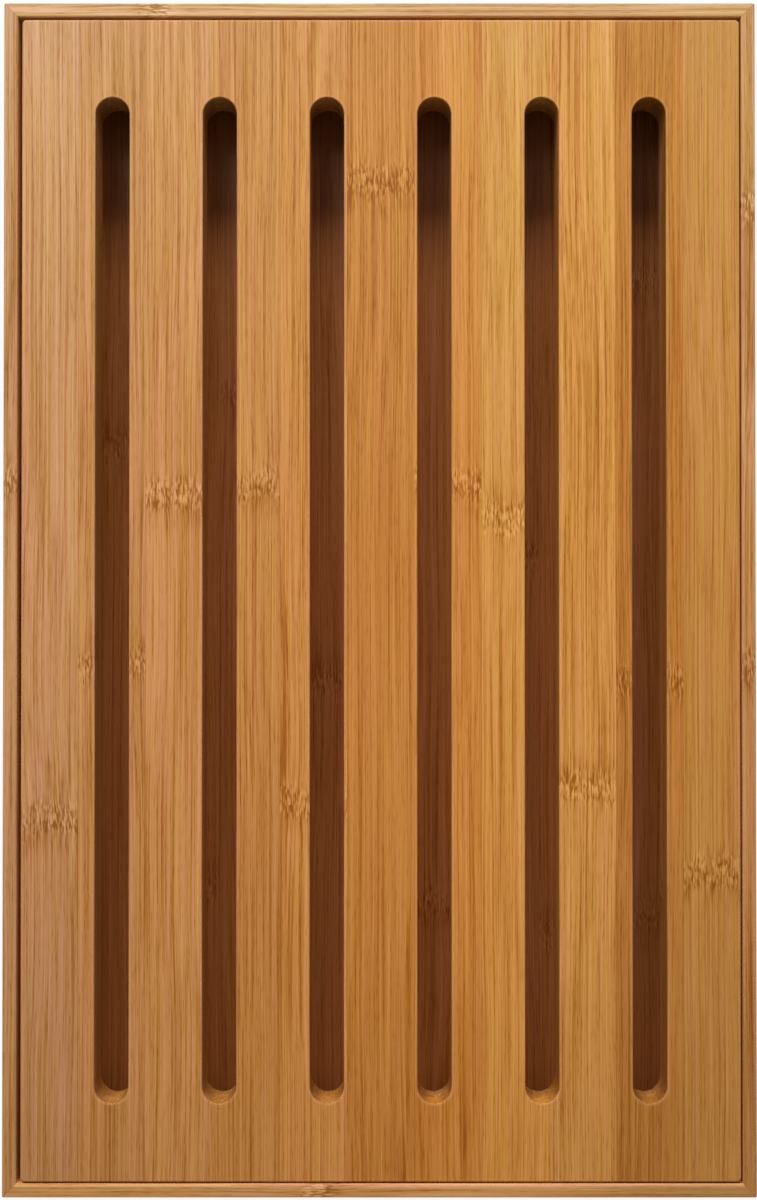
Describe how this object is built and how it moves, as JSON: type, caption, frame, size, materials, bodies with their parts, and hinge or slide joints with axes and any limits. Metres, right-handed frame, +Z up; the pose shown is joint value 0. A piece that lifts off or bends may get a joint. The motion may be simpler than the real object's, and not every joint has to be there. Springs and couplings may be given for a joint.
{
  "type": "bread board with crumb catcher",
  "caption": "Slotted bamboo bread board lying loose in a rimmed bamboo tray that catches the crumbs, with the board's top flush with the rim.",
  "frame": {"origin": "on the table under the middle of the tray", "axes": "+Z up through the board, +Y along the slots towards the back end wall, +X to the right across the board"},
  "size_m": [0.2396, 0.38, 0.035],
  "materials": {
    "board_bamboo": "natural bamboo, sanded and oiled, satin",
    "board_underside_bamboo": "natural bamboo, sanded, matt",
    "floor_bamboo": "natural bamboo, sanded, matt",
    "rest_bamboo": "natural bamboo, sanded, matt",
    "wall_bamboo": "natural bamboo, sanded and oiled, satin"
  },
  "bodies": {
    "tray": {"tray_back_rest": "rest_bamboo", "tray_back_wall": "wall_bamboo", "tray_floor_strip_01": "floor_bamboo", "tray_floor_strip_02": "floor_bamboo", "tray_floor_strip_03": "floor_bamboo", "tray_floor_strip_04": "floor_bamboo", "tray_floor_strip_05": "floor_bamboo", "tray_floor_strip_06": "floor_bamboo", "tray_floor_strip_07": "floor_bamboo", "tray_floor_strip_08": "floor_bamboo", "tray_floor_strip_09": "floor_bamboo", "tray_floor_strip_10": "floor_bamboo", "tray_floor_strip_11": "floor_bamboo", "tray_front_rest": "rest_bamboo", "tray_front_wall": "wall_bamboo", "tray_left_wall": "wall_bamboo", "tray_right_wall": "wall_bamboo"},
    "board": {"board_lower_strip_01": "board_underside_bamboo", "board_lower_strip_02": "board_underside_bamboo", "board_lower_strip_03": "board_underside_bamboo", "board_lower_strip_04": "board_underside_bamboo", "board_lower_strip_05": "board_underside_bamboo", "board_lower_strip_06": "board_underside_bamboo", "board_lower_strip_07": "board_underside_bamboo", "board_lower_strip_08": "board_underside_bamboo", "board_lower_strip_09": "board_underside_bamboo", "board_lower_strip_10": "board_underside_bamboo", "board_lower_strip_11": "board_underside_bamboo", "board_lower_strip_12": "board_underside_bamboo", "board_lower_strip_13": "board_underside_bamboo", "board_lower_strip_14": "board_underside_bamboo", "board_upper_strip_01": "board_bamboo", "board_upper_strip_02": "board_bamboo", "board_upper_strip_03": "board_bamboo", "board_upper_strip_04": "board_bamboo", "board_upper_strip_05": "board_bamboo", "board_upper_strip_06": "board_bamboo", "board_upper_strip_07": "board_bamboo", "board_upper_strip_08": "board_bamboo", "board_upper_strip_09": "board_bamboo", "board_upper_strip_10": "board_bamboo", "board_upper_strip_11": "board_bamboo"}
  },
  "joints": [
    {"name": "board_lift", "type": "slide", "parent": "tray", "child": "board", "axis": [0, 0, 1], "range_m": [0, 0.06]}
  ]
}
